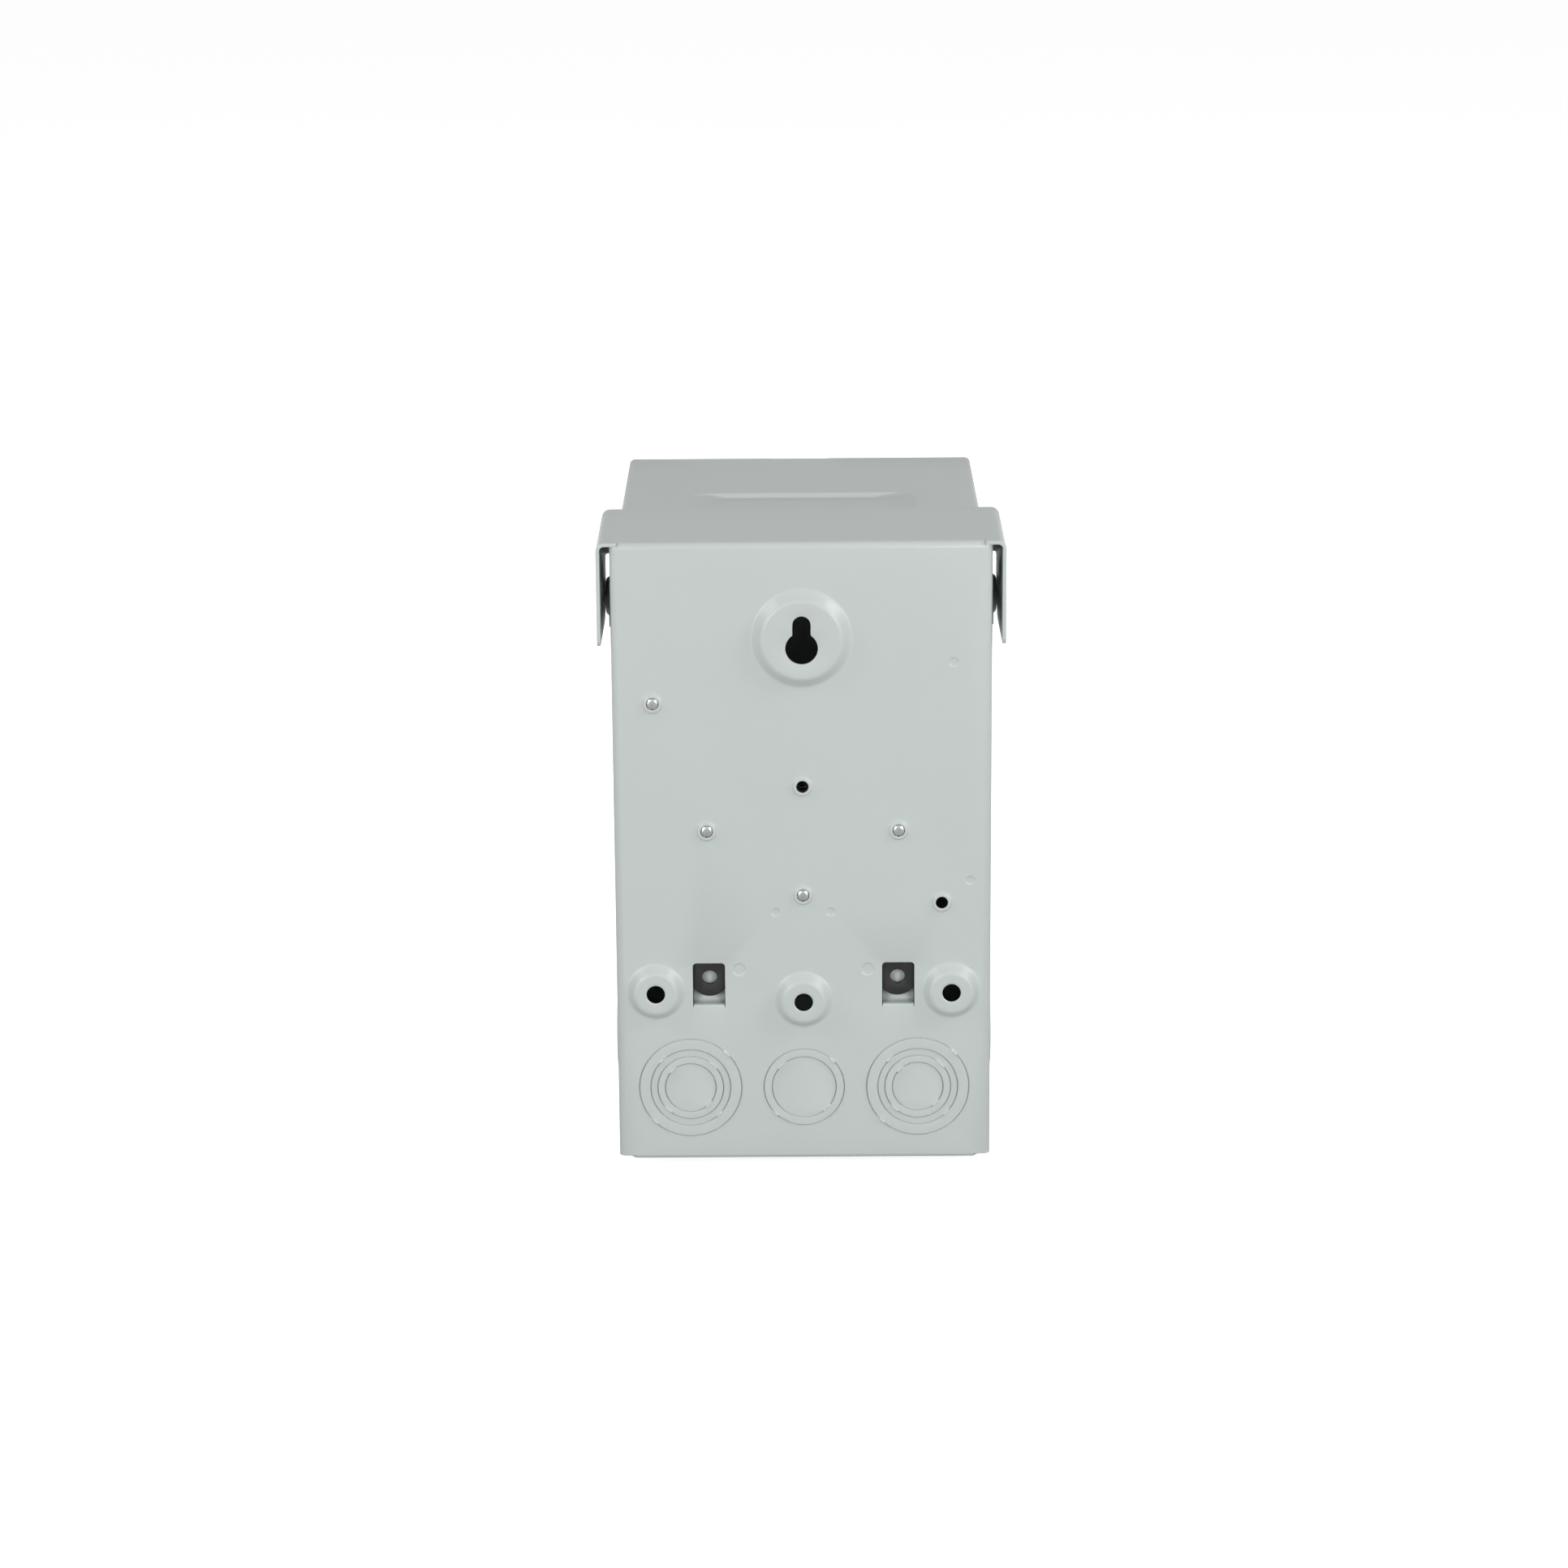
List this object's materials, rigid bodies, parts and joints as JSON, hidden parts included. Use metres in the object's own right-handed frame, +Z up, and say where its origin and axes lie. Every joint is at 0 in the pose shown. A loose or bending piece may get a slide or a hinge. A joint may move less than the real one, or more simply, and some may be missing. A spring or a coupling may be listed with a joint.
{
  "type": "residential load center",
  "caption": "Small rainproof load centre: formed steel box with hood and pressed back, top-hinged door, deadfront, breakers, neutral and ground bars.",
  "frame": {"origin": "centre of the upper end of the keyhole slot, on the wall plane that the pressed bosses touch", "axes": "+Z up, +Y into the wall, -Y out of the front where the door opens, +X to the left of someone who looks at the back"},
  "size_m": [0.1772, 0.3028, 0.276],
  "materials": {
    "paint": "semi-gloss light grey powder coat",
    "moulding": "dark moulded thermoplastic",
    "breaker_case": "black moulded phenolic",
    "breaker_handle": "black moulded handle",
    "zinc": "bright zinc plate",
    "aluminium": "tin-plated aluminium",
    "label": "blank printed-film label"
  },
  "bodies": {
    "box": {"base_screw_center": "zinc", "base_screw_left": "zinc", "base_screw_right": "zinc", "ground_bar_screw": "zinc", "deadfront_screw_left": "zinc", "deadfront_screw_right": "zinc", "ground_terminal_screw_1": "zinc", "ground_terminal_screw_2": "zinc", "ground_terminal_screw_3": "zinc", "ground_terminal_screw_4": "zinc", "neutral_terminal_screw_1": "zinc", "neutral_terminal_screw_2": "zinc", "neutral_terminal_screw_3": "zinc", "neutral_terminal_screw_4": "zinc", "neutral_main_screw": "zinc", "breaker_upper_terminal_screw": "zinc", "breaker_lower_terminal_screw": "zinc", "hinge_rivet_left": "zinc", "hinge_rivet_right": "zinc", "enclosure": "paint", "deadfront": "paint", "interior_base": "moulding", "ground_bar": "aluminium", "neutral_bar": "aluminium", "line_bus_a": "aluminium", "line_bus_b": "aluminium", "line_lug_a": "aluminium", "line_lug_b": "aluminium", "line_lug_screw_a": "aluminium", "line_lug_screw_b": "aluminium", "breaker_upper": "breaker_case", "breaker_lower": "breaker_case"},
    "door": {"door": "paint", "directory_label": "label"},
    "handle_upper": {"breaker_upper_handle": "breaker_handle"},
    "handle_lower": {"breaker_lower_handle": "breaker_handle"}
  },
  "joints": [
    {"name": "door_hinge", "type": "hinge", "parent": "box", "child": "door", "pos_m": [0, -0.061, -0.001], "axis": [1, 0, 0], "range_deg": [0, 90]},
    {"name": "upper_handle_swing", "type": "hinge", "parent": "box", "child": "handle_upper", "pos_m": [0, -0.051, -0.1103], "axis": [0, 0, 1], "range_deg": [0, 44]},
    {"name": "lower_handle_swing", "type": "hinge", "parent": "box", "child": "handle_lower", "pos_m": [0, -0.051, -0.1358], "axis": [0, 0, 1], "range_deg": [0, 44]}
  ]
}
